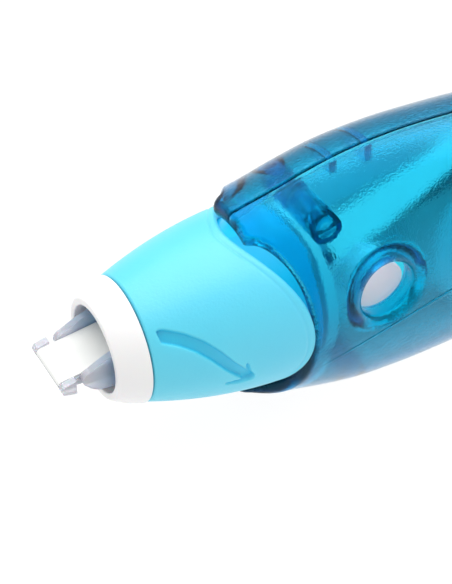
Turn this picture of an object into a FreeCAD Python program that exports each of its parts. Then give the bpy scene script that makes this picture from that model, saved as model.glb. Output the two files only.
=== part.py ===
# Pen-type correction tape roller with a twist cover over its tip.
#
# Frame of the finished part: +X runs from the tip to the tail, +Z is up with the roller
# standing on the flat land of its belly, and Y is the thickness. The origin is the middle
# of the bottom of the bounding box.
#
# Pieces are drawn in the pen frame, in millimetres: x is measured from the edge of the
# tip towards the tail, z from the pen's axis, and y is zero on the seam between the two
# halves of the case (the near half is at -y). Each piece's Placement takes it from there
# into the finished frame. Turning parts are drawn about their own axis instead.
import FreeCAD, Part
import math
import os
import re
import Sketcher
from FreeCAD import Placement, Rotation, Vector

doc = FreeCAD.newDocument("CorrectionTapeRoller")
sheet = doc.addObject("Spreadsheet::Sheet", "Sizes")

SIZES = [
    # overall
    ("length", 116.0, "tip edge to tail"),
    ("axis_height", 12.6, "pen axis above the resting land"),
    # case
    ("wall", 1.35, "case wall"),
    ("floor_level", 11.7, "inside of the belly, below the axis"),
    ("rim_ridge_x", 20.1, "front rim at the top and bottom ridges"),
    ("rim_sweep", 4.4, "how far the rim sweeps back at the sides"),
    ("rim_reach", 11.25, "half height of the rim's sweep"),
    ("seam_gap", 0.02, "gap between the halves of the case"),
    ("window_x", 32.5, "window centre"),
    ("window_z", 2.6, "window centre above the axis"),
    ("window_radius", 3.05, "window opening"),
    ("window_bezel", 4.3, "radius of the window's hollow rim"),
    ("window_hollow", 1.25, "round section of the window's hollow rim"),
    ("hollow_centre", 10.15, "how far that section's centre is from the seam"),
    ("dish_floor", 8.95, "how far the floor of the window's dish is from the seam"),
    ("socket_radius", 1.6, "outside of the case sockets"),
    ("socket_bore", 1.05, "bore of the case sockets"),
    ("pin_radius", 1.0, "case pins"),
    ("socket_top", 0.4, "sockets end this far on their own side of the seam"),
    ("boss_face", 3.3, "inner end of the near half's axle bosses"),
    ("pad_radius", 2.4, "pads of the far half that back the chassis plate"),
    ("rib_half", 0.4, "half the thickness of the far half's ribs"),
    ("rib_foot", 11.3, "inner edge of the ribs above the axis"),
    ("guide_radius", 1.2, "posts that the tape and film run round"),
    ("guide_reach", 2.9, "near end of the guide posts, past the seam"),
    ("pin_reach", 3.4, "how far the pins reach past the seam"),
    # nose ring and sleeve
    ("ring_front", 4.9, "front of the nose ring"),
    ("ring_rear", 7.9, "rear face of the nose ring"),
    ("ring_nose_radius", 5.15, "outside of the ring at its front"),
    ("ring_rear_radius", 6.5, "outside of the ring at its rear"),
    ("ring_bore", 4.45, "opening of the nose ring"),
    ("sleeve_seat_x", 6.3, "where the sleeve meets the ring"),
    ("sleeve_inner", 4.4, "bore of the sliding sleeve"),
    ("sleeve_outer", 4.95, "outside of the sliding sleeve"),
    ("sleeve_rear", 19.0, "rear of the sliding sleeve"),
    ("snap_front", 13.4, "front of the sleeve's snap flange"),
    ("snap_rear", 14.0, "rear of the sleeve's snap flange"),
    ("snap_radius", 5.7, "outside of the snap flange"),
    ("key_width", 1.0, "width of the barrel's keys"),
    ("key_top", 4.75, "outside of the barrel's keys"),
    # grip
    ("grip_front", 8.1, "front of the grip"),
    ("grip_bearing_rear", 13.2, "rear of the bore that runs on the sleeve"),
    ("grip_bore", 5.05, "bore that runs on the sleeve"),
    ("grip_inner", 6.5, "bore over the cam collar"),
    ("core_front_radius", 5.8, "outside of the grip core at its front"),
    ("core_step_radius", 7.05, "outside of the grip core over the bearing"),
    ("core_radius", 7.9, "outside of the grip core at its rear"),
    ("core_taper_rear", 18.0, "where the grip core stops widening"),
    ("core_rear", 25.3, "rear of the grip core"),
    ("grip_tongue_x", 24.2, "rear edge of the soft grip at its sides"),
    ("grip_tongue_radius", 10.63, "side-view radius of the soft grip's rear edge"),
    ("grip_front_radius", 6.45, "outside of the soft grip at its front"),
    ("grip_rear_radius", 9.3, "outside of the soft grip at its rear"),
    ("grip_bow_radius", 46.0, "bow of the soft grip's outside"),
    ("twist_travel", 5.655, "advance of the cover in a quarter turn"),
    # cam
    ("barrel_front", 10.0, "front of the nose barrel"),
    ("barrel_inner", 3.7, "bore of the nose barrel"),
    ("barrel_outer", 4.3, "outside of the nose barrel"),
    ("collar_front", 14.3, "front of the cam collar"),
    ("collar_inner", 5.8, "bore of the cam collar"),
    ("collar_outer", 6.4, "outside of the cam collar"),
    ("bulkhead_front", 26.0, "front of the bulkhead"),
    ("bulkhead_rear", 27.2, "rear of the bulkhead"),
    ("bulkhead_radius", 7.7, "bulkhead"),
    ("peg_x", 21.5, "cam pegs, with the tip uncovered"),
    ("peg_radius", 0.75, "cam pegs"),
    ("peg_reach", 5.9, "inner end of the cam pegs, from the axis"),
    ("slot_radius", 0.95, "round section of the cam slots"),
    # tip
    ("tape_width", 5.0, "correction tape"),
    ("tape_thickness", 0.16, "tape as drawn, several times the real thickness"),
    ("blade_half_width", 3.4, "half the width of the blade's edge with its lugs"),
    ("blade_nose_x", 0.52, "centre of the blade's rounded edge"),
    ("blade_nose_z", -0.45, "centre of the blade's rounded edge"),
    ("blade_nose_radius", 0.3, "rounding of the blade's edge"),
    ("cheek_inner", 2.65, "inner face of the tip's cheeks"),
    ("cheek_outer", 3.35, "outer face of the tip's cheeks"),
    ("cheek_front", 2.6, "front of the tip's cheeks"),
    ("cheek_rear", 9.7, "rear of the tip's cheeks"),
    ("rail_half_height", 1.3, "half height of the carrier's rails"),
    ("rail_inner", 2.75, "inner face of the carrier's rails"),
    ("rail_outer", 3.3, "outer face of the carrier's rails"),
    ("rail_rear", 34.3, "rear of the carrier's rails"),
    ("hub_radius", 2.7, "carrier's locating hub behind the window"),
    ("hub_reach", 6.6, "how far the hub reaches towards the window"),
    # reels and gears
    ("gear_module", 0.47, "module of the gears"),
    ("pressure_angle", 20, "pressure angle of the teeth, in degrees"),
    ("addendum", 0.92, "height of a tooth above the pitch circle, in modules"),
    ("dedendum", 1.2, "depth of a tooth below the pitch circle, in modules"),
    ("supply_teeth", 40, "teeth of the supply gear"),
    ("idler_teeth", 19, "teeth of the idler"),
    ("takeup_teeth", 16, "teeth of the take-up gear"),
    ("supply_x", 53.0, "supply reel axis"),
    ("gear_near", 3.9, "near face of the gears"),
    ("gear_far", 5.1, "far face of the gears"),
    ("backlash", 0.14, "thinning of each tooth at the pitch circle"),
    ("supply_post", 2.0, "supply axle"),
    ("idler_post", 1.2, "idler axle"),
    ("takeup_post", 1.5, "take-up axle"),
    ("running_gap", 0.05, "radial gap of a turning fit"),
    ("supply_core_outer", 5.2, "outside of the supply core"),
    ("takeup_core_outer", 4.4, "outside of the take-up core"),
    ("supply_pack", 10.2, "radius of the full tape pack"),
    ("takeup_pack", 4.95, "radius of the used film on the take-up reel"),
    ("supply_flange", 10.7, "radius of the supply flange"),
    ("takeup_flange", 8.4, "radius of the take-up flange"),
    ("flange_thickness", 0.5, "reel flanges"),
    ("tape_side_gap", 0.15, "gap between the tape and a flange"),
    ("plate_near", 5.4, "near face of the chassis plate"),
    ("plate_far", 6.4, "far face of the chassis plate"),
    ("post_reach", 4.3, "near end of the axles"),
]

for row, (alias, number, note) in enumerate(SIZES, start=1):
    sheet.set("A%d" % row, alias)
    sheet.set("B%d" % row, repr(number))
    sheet.set("C%d" % row, note)
    sheet.setAlias("B%d" % row, alias)
doc.recompute()

ALIASES = {alias for alias, number, note in SIZES}
NAME = re.compile(r"[a-z][a-z_]*")


def size(formula):
    """The value of a formula written with the sheet's aliases."""
    return float(sheet.evalExpression(str(formula)))


def bound(formula):
    """The same formula as another object's expression has to write it."""
    return NAME.sub(lambda word: "Sizes." + word.group(0) if word.group(0) in ALIASES
                    else word.group(0), str(formula))


# ---------------------------------------------------------------- sketched pieces

def place(piece, x="0", y="0", z="0"):
    """Put a piece drawn in the pen frame at x, y, z of that frame."""
    piece.setExpression("Placement.Base.x", bound("%s - length / 2" % x))
    piece.setExpression("Placement.Base.y", bound(y))
    piece.setExpression("Placement.Base.z", bound("axis_height + (%s)" % z))


def new_body(name, x="0", y="0", z="0"):
    body = doc.addObject("PartDesign::Body", name)
    body.Label = name
    place(body, x, y, z)
    return body


def new_sketch(body, plane, name, level="0"):
    """A sketch on an origin plane, moved along the plane's own normal by level."""
    sketch = body.newObject("Sketcher::SketchObject", name)
    support = [item for item in body.Origin.OriginFeatures if item.Role == plane][0]
    sketch.AttachmentSupport = [(support, "")]
    sketch.MapMode = "FlatFace"
    sketch.AttachmentOffset = Placement(Vector(0, 0, size(level)), Rotation())
    sketch.setExpression("AttachmentOffset.Base.z", bound(level))
    return sketch


def pin_point(sketch, geometry, end, across, along):
    """Hold one end of a line or arc at a place given by two formulas."""
    for kind, formula in (("DistanceX", across), ("DistanceY", along)):
        rule = Sketcher.Constraint(kind, -1, 1, geometry, end, size(formula))
        index = sketch.addConstraint(rule)
        sketch.setExpression("Constraints[%d]" % index, bound(formula))


def arc_through(start, end, radius):
    """Arc from start to end; a positive radius bows to the left of the way there."""
    chord = end - start
    side = Vector(-chord.y, chord.x, 0).normalize()
    half = chord.Length / 2
    rise = abs(radius) - math.sqrt(radius * radius - half * half)
    middle = (start + end) * 0.5 + side * math.copysign(rise, radius)
    return Part.Arc(start, middle, end)


def draw_outline(sketch, corners):
    """Closed outline. A corner is (across, along) or (across, along, radius), and then
    the edge that leaves it is an arc of that radius."""
    first = sketch.GeometryCount
    places = [Vector(size(corner[0]), size(corner[1]), 0) for corner in corners]
    count = len(corners)
    for index, corner in enumerate(corners):
        start = places[index]
        end = places[(index + 1) % count]
        if len(corner) == 2:
            sketch.addGeometry(Part.LineSegment(start, end), False)
            ends = (1, 2)
        else:
            arc = arc_through(start, end, size(corner[2]))
            sketch.addGeometry(arc, False)
            ends = (1, 2) if sketch.getPoint(first + index, 1).distanceToPoint(start) < 1e-4 else (2, 1)
            rule = Sketcher.Constraint("Radius", first + index, abs(size(corner[2])))
            radius = sketch.addConstraint(rule)
            sketch.setExpression("Constraints[%d]" % radius, bound("abs(%s)" % corner[2]))
        for end_id, spot in zip(ends, (corner, corners[(index + 1) % count])):
            pin_point(sketch, first + index, end_id, spot[0], spot[1])


def draw_circle(sketch, across, along, radius):
    centre = Vector(size(across), size(along), 0)
    circle = sketch.addGeometry(Part.Circle(centre, Vector(0, 0, 1), size(radius)), False)
    pin_point(sketch, circle, 3, across, along)
    index = sketch.addConstraint(Sketcher.Constraint("Radius", circle, size(radius)))
    sketch.setExpression("Constraints[%d]" % index, bound(radius))


def turned(name, corners, about, x="0", y="0", z="0"):
    """A body of revolution. About "X" the corners are (x, radius); about "Y" they are
    (radius, y)."""
    body = new_body(name, x, y, z)
    sketch = new_sketch(body, "XZ_Plane" if about == "X" else "XY_Plane", name + "_profile")
    draw_outline(sketch, corners)
    feature = body.newObject("PartDesign::Revolution", name + "_turned")
    feature.Profile = sketch
    feature.ReferenceAxis = (sketch, ["H_Axis" if about == "X" else "V_Axis"])
    feature.Angle = 360
    body.Tip = feature
    doc.recompute()
    return body


def add_slab(body, name, near, far, corners=None, circle=None):
    """Pad an outline in the x-z plane from y = near to y = far (near is the lower y)."""
    sketch = new_sketch(body, "XZ_Plane", name + "_outline", "-(%s)" % far)
    if corners:
        draw_outline(sketch, corners)
    if circle:
        draw_circle(sketch, *circle)
    feature = body.newObject("PartDesign::Pad", name)
    feature.Profile = sketch
    feature.setExpression("Length", bound("(%s) - (%s)" % (far, near)))
    body.Tip = feature
    doc.recompute()
    return feature


def cut_slab(body, name, near, far, corners=None, circle=None):
    """Pocket an outline in the x-z plane between y = near and y = far."""
    before = body.Shape.Volume
    sketch = new_sketch(body, "XZ_Plane", name + "_outline", "-(%s)" % near)
    if corners:
        draw_outline(sketch, corners)
    if circle:
        draw_circle(sketch, *circle)
    feature = body.newObject("PartDesign::Pocket", name)
    feature.Profile = sketch
    feature.setExpression("Length", bound("(%s) - (%s)" % (far, near)))
    body.Tip = feature
    doc.recompute()
    if body.Shape.Volume >= before - 1e-6:
        raise RuntimeError(name + " removed nothing")
    return feature


# ---------------------------------------------------------------- primitive pieces

def rod(name, radius, near, far, x, z):
    """Cylinder along Y from y = near to y = far, centred on x, z of the pen frame."""
    piece = doc.addObject("Part::Cylinder", name)
    piece.setExpression("Radius", bound(radius))
    piece.setExpression("Height", bound("(%s) - (%s)" % (far, near)))
    piece.Placement = Placement(Vector(size(x), size(near), size(z)), Rotation(Vector(1, 0, 0), -90))
    for axis, formula in (("x", x), ("y", near), ("z", z)):
        piece.setExpression("Placement.Base." + axis, bound(formula))
    return piece


def block(name, low, high):
    """Box between two corners of the pen frame, each given as three formulas."""
    piece = doc.addObject("Part::Box", name)
    for side, start, end in zip(("Length", "Width", "Height"), low, high):
        piece.setExpression(side, bound("(%s) - (%s)" % (end, start)))
    for axis, formula in zip("xyz", low):
        piece.setExpression("Placement.Base." + axis, bound(formula))
    return piece


def fixed_form(name, shape):
    piece = doc.addObject("Part::Feature", name)
    piece.Shape = shape
    return piece


def fused(name, pieces):
    joined = doc.addObject("Part::MultiFuse", name)
    joined.Shapes = pieces
    return joined


def without(name, base, tool):
    left = doc.addObject("Part::Cut", name)
    left.Base = base
    left.Tool = tool
    return left


def shared(name, pieces):
    both = doc.addObject("Part::MultiCommon", name)
    both.Shapes = pieces
    return both


# Axes of the idler and the take-up reel, in line behind the supply reel.
IDLER_X = "supply_x + gear_module * (supply_teeth + idler_teeth) / 2"
TAKEUP_X = "supply_x + gear_module * (supply_teeth + 2 * idler_teeth + takeup_teeth) / 2"
AXLES = [("supply_x", "supply_post"), (TAKEUP_X, "takeup_post")]

# ---------------------------------------------------------------- case

# Half height and half thickness of the case along the pen, and how square its section is.
CASE_STATIONS = [
    (18.6, 10.65, 9.40, 2.00),
    (21.0, 11.30, 9.45, 2.02),
    (24.0, 12.02, 9.45, 2.08),
    (27.5, 13.00, 9.45, 2.16),
    (31.5, 13.85, 9.45, 2.25),
    (37.6, 14.40, 9.45, 2.28),
    (45.0, 14.25, 9.45, 2.28),
    (55.0, 13.45, 9.40, 2.26),
    (66.0, 12.25, 9.20, 2.22),
    (78.0, 10.85, 8.70, 2.18),
    (90.0, 9.60, 8.00, 2.14),
    (101.0, 8.45, 7.20, 2.10),
    (109.0, 7.30, 6.35, 2.06),
    (113.4, 5.95, 5.25, 2.02),
    (115.3, 4.45, 4.00, 2.00),
    (116.0, 2.60, 2.40, 2.00),
]


def case_ring(x, half_height, half_thickness, squareness, points=48):
    """Closed curve |y/a|^n + |z/b|^n = 1 across the pen at x."""
    power = 2.0 / squareness
    corners = []
    for step in range(points):
        turn = 2 * math.pi * step / points
        across = math.copysign(abs(math.sin(turn)) ** power, math.sin(turn))
        up = math.copysign(abs(math.cos(turn)) ** power, math.cos(turn))
        corners.append(Vector(x, half_thickness * across, half_height * up))
    curve = Part.BSplineCurve()
    curve.interpolate(corners, PeriodicFlag=True)
    return Part.Wire([curve.toShape()])


def case_form(inset):
    """Solid of the case's outside, or with an inset the solid of its hollow."""
    rings = []
    for x, half_height, half_thickness, squareness in CASE_STATIONS:
        if inset and half_thickness < 3.0 + inset:
            continue
        rings.append(case_ring(x - (inset if x > 100 else 0), half_height - inset,
                               half_thickness - inset, squareness))
    return Part.makeLoft(rings, True, False)


# Centres, in x and z, of the five sockets and pins that join the halves, and of the three
# posts of the far half that the tape and film run round. The second socket guides the
# film as well.
RIBS = ["31", "35"]
SOCKETS = [("27", "9.7"), ("31", "-9.8"), ("91", "4.6"), ("91", "-4.6"), ("105", "0")]
GUIDE_POSTS = [("28.8", "3.3"), ("28.8", "-3.3"), ("64", "-9.2")]


def make_case():
    """Both halves: hollow shells split on the seam, with sockets in the near half and
    pins in the far half, a swept front rim and a flat land to stand on."""
    outside = fixed_form("case_outside", case_form(0))
    hollow = fixed_form("case_hollow", case_form(size("wall")))
    belly = block("belly_limit", ("0", "-20", "-floor_level"), ("length", "20", "20"))
    cavity = shared("case_cavity", [hollow, belly])
    hull = without("case_hull", outside, cavity)

    front = block("front_clearance", ("0", "-20", "-20"), ("rim_ridge_x", "20", "20"))
    sweep_face = Part.Face(Part.Wire([Part.Ellipse(
        Vector(0, 0, 0), size("rim_reach"), size("rim_sweep")).toShape()]))
    sweep_solid = sweep_face.extrude(Vector(0, 0, 40))
    sweep = fixed_form("rim_sweep_form", sweep_solid)
    sweep.Placement = Placement(Vector(size("rim_ridge_x"), 20, 0), Rotation(Vector(1, 0, 0), 90)) \
        .multiply(Placement(Vector(0, 0, 0), Rotation(Vector(0, 0, 1), 90)))
    land = block("land_cut", ("0", "-20", "-20"), ("length", "20", "-axis_height"))
    cutters = fused("case_cutters", [front, sweep, land])
    trimmed = without("case_trimmed", hull, cutters)

    for side in ("near", "far"):
        if side == "near":
            half = block("near_space", ("0", "-20", "-20"), ("length + 1", "-seam_gap / 2", "20"))
            skin = shared("near_skin", [trimmed, half])
            posts = [rod("near_socket_%d" % number, "socket_radius", "-12", "-socket_top", x, z)
                     for number, (x, z) in enumerate(SOCKETS, start=1)]
            posts += [rod("near_boss_%d" % number, axle + " + 1", "-12", "-boss_face", x, "0")
                      for number, (x, axle) in enumerate(AXLES, start=1)]
            bores = [rod("near_bore_%d" % number, "socket_bore", "-5", "1", x, z)
                     for number, (x, z) in enumerate(SOCKETS, start=1)]
            bores += [rod("boss_bore_%d" % number, axle + " + 0.1", "-post_reach - 0.4", "1", x, "0")
                      for number, (x, axle) in enumerate(AXLES, start=1)]
        else:
            half = block("far_space", ("0", "seam_gap / 2", "-20"), ("length + 1", "20", "20"))
            skin = shared("far_skin", [trimmed, half])
            posts = [rod("far_root_%d" % number, "socket_radius", "0", "12", x, z)
                     for number, (x, z) in enumerate(SOCKETS, start=1)]
            posts += [rod("plate_pad_%d" % number, "pad_radius", "plate_far", "12", x, "0")
                      for number, (x, axle) in enumerate(AXLES, start=1)]
            posts += [block("far_rib_%d" % number, (x + " - rib_half", "0", "rib_foot"),
                            (x + " + rib_half", "12", "20"))
                      for number, x in enumerate(RIBS, start=1)]
            bores = []
        inside = fixed_form(side + "_limit", case_form(size("wall") / 2))
        columns = shared(side + "_columns", [fused(side + "_posts", posts), inside, half])
        whole = fused(side + "_whole", [skin, columns])
        if side == "near":
            window = rod("window_bore", "window_radius", "-12", "0", "window_x", "window_z")
            bezel = doc.addObject("Part::Torus", "window_hollow")
            bezel.setExpression("Radius1", bound("window_bezel"))
            bezel.setExpression("Radius2", bound("window_hollow"))
            bezel.Placement = Placement(Vector(size("window_x"), -size("hollow_centre"),
                                               size("window_z")),
                                        Rotation(Vector(1, 0, 0), 90))
            disc = rod("window_dish", "window_bezel", "-12", "-dish_floor", "window_x", "window_z")
            done = without("near_shell", whole, fused("near_cutters", bores + [window, bezel, disc]))
        else:
            pins = [rod("far_pin_%d" % number, "pin_radius", "-pin_reach", "1", x, z)
                    for number, (x, z) in enumerate(SOCKETS, start=1)]
            guides = [rod("guide_post_%d" % number, "guide_radius", "-guide_reach", "9", x, z)
                      for number, (x, z) in enumerate(GUIDE_POSTS, start=1)]
            inner_guides = shared("far_guides", [fused("guide_posts", guides), inside])
            done = fused("far_shell", [whole, inner_guides] + pins)
        place(done)
        yield done


# ---------------------------------------------------------------- nose

def make_nose_ring():
    """Hard ring that frames the tip, with a rounded front lip and a seat for the sleeve."""
    return turned("nose_ring", [
        ("ring_front", "ring_bore + 0.2"),
        ("ring_front", "ring_nose_radius - 0.35", "0.35"),
        ("ring_front + 0.35", "ring_nose_radius", "9"),
        ("ring_rear - 0.12", "ring_rear_radius"),
        ("ring_rear", "ring_rear_radius - 0.12"),
        ("ring_rear", "sleeve_outer"),
        ("sleeve_seat_x", "sleeve_outer"),
        ("sleeve_seat_x", "ring_bore"),
        ("ring_front + 0.2", "ring_bore"),
    ], "X")


def make_slide_sleeve():
    """Tube that carries the ring, slotted for the barrel's keys, with a snap flange that
    holds the grip against the ring."""
    body = turned("slide_sleeve", [
        ("sleeve_seat_x", "sleeve_inner"),
        ("sleeve_seat_x", "sleeve_outer"),
        ("snap_front", "sleeve_outer"),
        ("snap_front", "snap_radius"),
        ("snap_rear", "sleeve_outer"),
        ("sleeve_rear", "sleeve_outer"),
        ("sleeve_rear", "sleeve_inner"),
    ], "X")
    for side, name in (("", "top"), ("-", "bottom")):
        cut_slab(body, "sleeve_slot_" + name, "-key_width / 2 - 0.1", "key_width / 2 + 0.1", [
            ("9.2", side + "4"), ("sleeve_rear + 1", side + "4"),
            ("sleeve_rear + 1", side + "6"), ("9.2", side + "6")])
    return body


def make_cam_barrel():
    """Barrel that the sleeve slides on, with two keys, and round it the collar whose
    helical slots drive the grip forward; both stand on the bulkhead."""
    turned_part = turned("cam_barrel_turned", [
        ("barrel_front", "barrel_inner"),
        ("barrel_front", "barrel_outer"),
        ("bulkhead_front", "barrel_outer"),
        ("bulkhead_front", "collar_inner"),
        ("collar_front", "collar_inner"),
        ("collar_front", "collar_outer"),
        ("bulkhead_front", "collar_outer"),
        ("bulkhead_front", "bulkhead_radius"),
        ("bulkhead_rear", "bulkhead_radius"),
        ("bulkhead_rear", "barrel_inner"),
    ], "X")
    for side, name in (("", "top"), ("-", "bottom")):
        add_slab(turned_part, "barrel_key_" + name, "-key_width / 2", "key_width / 2", [
            ("barrel_front + 0.5", side + "4"), ("sleeve_rear - 1", side + "4"),
            ("sleeve_rear - 1", side + "key_top"), ("barrel_front + 0.5", side + "key_top")])
    turned_part.setExpression("Placement.Base.x", None)
    turned_part.setExpression("Placement.Base.z", None)
    turned_part.Placement = Placement()
    slots = [fixed_form("cam_slot_%d" % number, cam_slot(turn))
             for number, turn in enumerate((0, 180), start=1)]
    barrel = without("cam_barrel", turned_part, fused("cam_slots", slots))
    place(barrel)
    return barrel


def cam_slot(turn):
    """Round section carried along a quarter turn of helix, closed by a ball at each end.
    It starts at the near side at the pegs' resting place and climbs to the top as it
    runs forward."""
    radius = (size("collar_inner") + size("collar_outer")) / 2
    travel = size("twist_travel")
    helix = Part.makeHelix(4 * travel, travel, radius)
    profile = Part.Wire([Part.Circle(Vector(radius, 0, 0), Vector(0, 1, 0),
                                     size("slot_radius")).toShape()])
    tube = Part.Wire(helix.Edges).makePipeShell([profile], True, True)
    balls = [Part.makeSphere(size("slot_radius"), Vector(radius, 0, 0)),
             Part.makeSphere(size("slot_radius"), Vector(0, radius, travel))]
    slot = tube.fuse(balls).removeSplitter()
    # the helix climbs +Z turning from X to Y; send Z to -X, X to -Y and Y to +Z
    slot.transformShape(FreeCAD.Matrix(0, 0, -1, 0, -1, 0, 0, 0, 0, 1, 0, 0, 0, 0, 0, 1))
    slot.rotate(Vector(0, 0, 0), Vector(1, 0, 0), turn)
    slot.translate(Vector(size("peg_x"), 0, 0))
    return slot


# ---------------------------------------------------------------- grip

def make_grip_core():
    """Hard sleeve under the soft grip. Its bearing runs on the sliding sleeve and two pegs
    inside it run in the cam slots."""
    body = turned("grip_core_turned", [
        ("grip_front", "grip_bore"),
        ("grip_front", "core_front_radius"),
        ("grip_bearing_rear", "core_step_radius"),
        ("core_taper_rear", "core_radius"),
        ("core_rear", "core_radius"),
        ("core_rear", "grip_inner"),
        ("grip_bearing_rear", "grip_inner"),
        ("grip_bearing_rear", "grip_bore"),
    ], "X")
    body.setExpression("Placement.Base.x", None)
    body.setExpression("Placement.Base.z", None)
    body.Placement = Placement()
    pegs = [rod("cam_peg_near", "peg_radius", "-grip_inner - 0.3", "-peg_reach", "peg_x", "0"),
            rod("cam_peg_far", "peg_radius", "peg_reach", "grip_inner + 0.3", "peg_x", "0")]
    core = fused("grip_core", [body] + pegs)
    place(core)
    return core


def arrow_outline():
    """Outline of the swept twist arrow, as (along the pen, up round the grip) in a plane
    that faces the middle of the arrow. A slim band runs down to a small barbed head."""
    return [
        ("9.1", "3.5", "9.1"),
        ("15.9", "-2.0"),
        ("16.8", "-1.3", "6"),
        ("17.5", "-4.1", "6"),
        ("14.6", "-3.7"),
        ("15.2", "-2.6", "-12"),
        ("9.5", "2.3"),
    ]


def make_grip_rubber():
    """Soft overmoulded grip. Its rear edge sweeps back to a tongue at each side, and a
    window in the shape of an arrow lets the core show through on both sides."""
    body = turned("grip_rubber_turned", [
        ("grip_front", "core_front_radius"),
        ("grip_front", "grip_front_radius", "grip_bow_radius"),
        ("25", "grip_rear_radius"),
        ("25", "core_radius"),
        ("core_taper_rear", "core_radius"),
        ("grip_bearing_rear", "core_step_radius"),
    ], "X")
    body.setExpression("Placement.Base.x", None)
    body.setExpression("Placement.Base.z", None)
    body.Placement = Placement()
    round_end = rod("grip_rear_limit", "grip_tongue_radius", "-12", "12",
                    "grip_tongue_x - grip_tongue_radius", "0")
    front = block("grip_front_limit", ("0", "-12", "-12"), ("14", "12", "12"))
    limit = fused("grip_limits", [round_end, front])
    rounded = shared("grip_rounded", [body, limit])
    arrows = []
    for number, turn in enumerate((0, 180), start=1):
        cutter = new_body("arrow_cutter_%d" % number)
        cutter.setExpression("Placement.Base.x", None)
        cutter.setExpression("Placement.Base.z", None)
        sketch = new_sketch(cutter, "XY_Plane", "arrow_outline_%d" % number, "4")
        draw_outline(sketch, arrow_outline())
        feature = cutter.newObject("PartDesign::Pad", "arrow_depth_%d" % number)
        feature.Profile = sketch
        feature.Length = 8
        cutter.Tip = feature
        cutter.Placement = Placement(Vector(0, 0, 0), Rotation(Vector(1, 0, 0), 78 + turn))
        arrows.append(cutter)
    grip = without("grip_rubber", rounded, fused("arrow_cutters", arrows))
    place(grip)
    return grip


# ---------------------------------------------------------------- tip and its carrier

def make_applicator_tip():
    """Clear moulded tip: a wedge whose edge lays the tape, lugs that keep the tape on the
    edge, and two rounded cheeks that guide it."""
    body = new_body("applicator_tip")
    add_slab(body, "blade", "-cheek_inner", "cheek_inner", [
        ("blade_nose_x", "blade_nose_z - blade_nose_radius", "blade_nose_radius + 0.01"),
        ("blade_nose_x", "blade_nose_z + blade_nose_radius"), ("cheek_rear", "1.1"),
        ("cheek_rear", "-1.5")])
    lug = [("0.27", "-0.95", "0.6"), ("0.27", "0.05"), ("1.5", "0.35"), ("1.5", "-1.25")]
    add_slab(body, "lug_near", "-blade_half_width", "-cheek_inner", lug)
    add_slab(body, "lug_far", "cheek_inner", "blade_half_width", lug)
    cheek = [("cheek_front", "-0.9", "0.9"), ("cheek_front + 0.35", "0.75", "14"),
             ("cheek_rear", "2.75"), ("cheek_rear", "-2.75"), ("cheek_front + 1.3", "-1.9", "2.5")]
    add_slab(body, "cheek_near", "-cheek_outer", "-cheek_inner", cheek)
    add_slab(body, "cheek_far", "cheek_inner", "cheek_outer", cheek)
    return body


def make_tip_carrier():
    """Clear frame that holds the tip: two rails run back through the barrel, and the near
    one carries the round hub that shows in the window."""
    body = new_body("tip_carrier")
    rail = [("cheek_rear", "-rail_half_height"), ("cheek_rear", "rail_half_height"),
            ("bulkhead_rear + 1", "rail_half_height"), ("rail_rear - 2", "4.2", "2"),
            ("rail_rear", "2.2"), ("rail_rear", "-2.4", "2"), ("rail_rear - 2", "-4.4"),
            ("bulkhead_rear + 1", "-rail_half_height")]
    add_slab(body, "rail_near", "-rail_outer", "-rail_inner", rail)
    add_slab(body, "rail_web", "-rail_inner", "rail_inner", [
        ("cheek_rear", "-0.7"), ("cheek_rear", "0.5"), ("rail_rear - 9", "0.35"),
        ("rail_rear - 9", "-0.55")])
    add_slab(body, "rail_far", "rail_inner", "rail_outer", rail)
    add_slab(body, "window_hub", "-hub_reach", "-rail_outer + 0.1",
             circle=("window_x + 0.6", "window_z - 1.2", "hub_radius"))
    return body


def ribbon(path, thickness, width):
    """Flat band of the given width about y = 0. The path is its middle line in x-z."""
    above = []
    below = []
    for index, (x, z) in enumerate(path):
        last = path[max(index - 1, 0)]
        following = path[min(index + 1, len(path) - 1)]
        run = Vector(following[0] - last[0], 0, following[1] - last[1]).normalize()
        side = Vector(-run.z, 0, run.x) * (thickness / 2)
        above.append(Vector(x, -width / 2, z) + side)
        below.append(Vector(x, -width / 2, z) - side)
    outline = above + below[::-1] + above[:1]
    return Part.Face(Part.makePolygon(outline)).extrude(Vector(0, width, 0))


def reel_touch(reel_x, radius, point_x, point_z, upper):
    """Where the straight run from a point meets a reel, above or below its axis."""
    apart = math.hypot(reel_x - point_x, point_z)
    lean = math.atan2(-point_z, reel_x - point_x)
    spread = math.acos(radius / apart)
    turn = math.pi + lean + (-spread if upper else spread)
    return reel_x + radius * math.cos(turn), radius * math.sin(turn)


def round_post(post, radius, start, end, steps=5):
    """Points of an arc about a post, from one angle to another in degrees."""
    turns = [math.radians(start + (end - start) * step / steps) for step in range(steps + 1)]
    return [(post[0] + radius * math.cos(turn), post[1] + radius * math.sin(turn))
            for turn in turns]


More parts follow.
